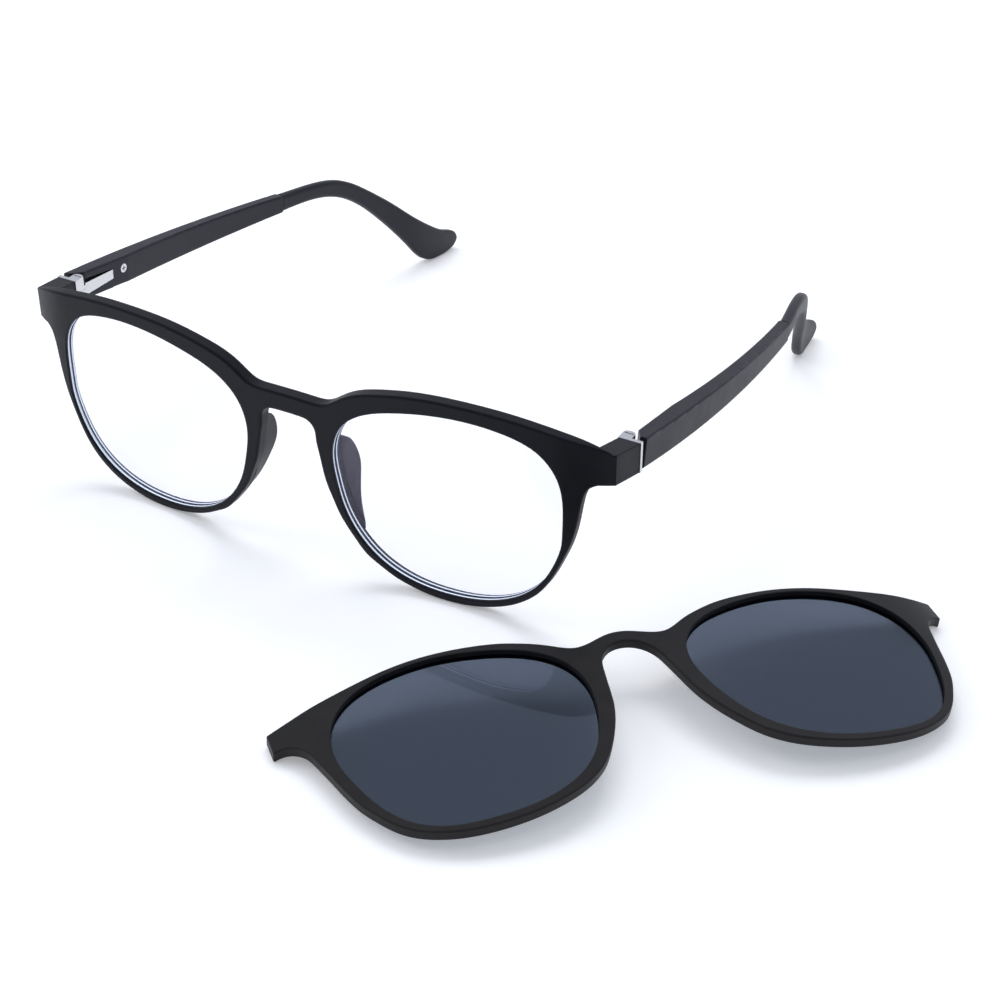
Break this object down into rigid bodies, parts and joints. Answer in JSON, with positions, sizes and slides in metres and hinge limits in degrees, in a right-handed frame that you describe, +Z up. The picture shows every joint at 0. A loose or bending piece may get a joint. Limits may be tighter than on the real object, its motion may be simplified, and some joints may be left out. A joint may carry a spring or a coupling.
{
  "type": "spectacles with magnetic clip-on",
  "caption": "Matte black full-rim spectacles with clear lenses and sprung bright metal hinges, standing open, with a matching magnetic clip-on of dark sun lenses lying face up in front.",
  "frame": {"origin": "middle of the whole part's footprint, on the table", "axes": "+Z up; +X along the spectacle front towards the wearer's left; +Y from the front back to the ears"},
  "size_m": [0.2034, 0.2179, 0.0454],
  "materials": {
    "matte_black": "matte",
    "clear_lens": "gloss",
    "sun_lens": "gloss",
    "bright_metal": "polished",
    "steel": "satin",
    "magnet": "satin",
    "tip_rubber": "matte"
  },
  "bodies": {
    "spectacle_front": {"front_frame": "matte_black", "right_lens": "clear_lens", "left_lens": "clear_lens", "front_magnets": "magnet", "right_hinge_plate": "bright_metal", "left_hinge_plate": "bright_metal", "right_hinge_screw": "bright_metal", "left_hinge_screw": "bright_metal"},
    "right_leaf": {"right_hinge_leaf": "bright_metal", "right_spring_rod": "steel", "right_retaining_nut": "steel"},
    "right_temple": {"right_temple_arm": "matte_black", "right_temple_tip": "tip_rubber", "right_temple_core": "steel", "right_spring_housing": "bright_metal", "right_temple_screw": "bright_metal", "right_coil_spring": "steel"},
    "left_leaf": {"left_hinge_leaf": "bright_metal", "left_spring_rod": "steel", "left_retaining_nut": "steel"},
    "left_temple": {"left_temple_arm": "matte_black", "left_temple_tip": "tip_rubber", "left_temple_core": "steel", "left_spring_housing": "bright_metal", "left_temple_screw": "bright_metal", "left_coil_spring": "steel"},
    "clip": {"clip_frame": "matte_black", "right_clip_lens": "sun_lens", "left_clip_lens": "sun_lens", "clip_magnets": "magnet"}
  },
  "joints": [
    {"name": "right_temple_fold", "type": "hinge", "parent": "spectacle_front", "child": "right_leaf", "pos_m": [-0.09717, -0.02799, 0.03606], "axis": [0, 0.0541, -0.9985], "range_deg": [-5, 84]},
    {"name": "right_spring_give", "type": "slide", "parent": "right_leaf", "child": "right_temple", "axis": [0, 1, 0], "range_m": [0, 0.0015], "stiffness_N_per_m": 1500, "springref_m": -0.0015},
    {"name": "left_temple_fold", "type": "hinge", "parent": "spectacle_front", "child": "left_leaf", "pos_m": [0.03363, -0.02799, 0.03606], "axis": [0, -0.0541, 0.9985], "range_deg": [-5, 88]},
    {"name": "left_spring_give", "type": "slide", "parent": "left_leaf", "child": "left_temple", "axis": [0, 1, 0], "range_m": [0, 0.0015], "stiffness_N_per_m": 1500, "springref_m": -0.0015},
    {"name": "clip_lift", "type": "slide", "parent": "spectacle_front", "child": "clip", "axis": [0, 0, 1], "range_m": [0, 0.06]}
  ]
}
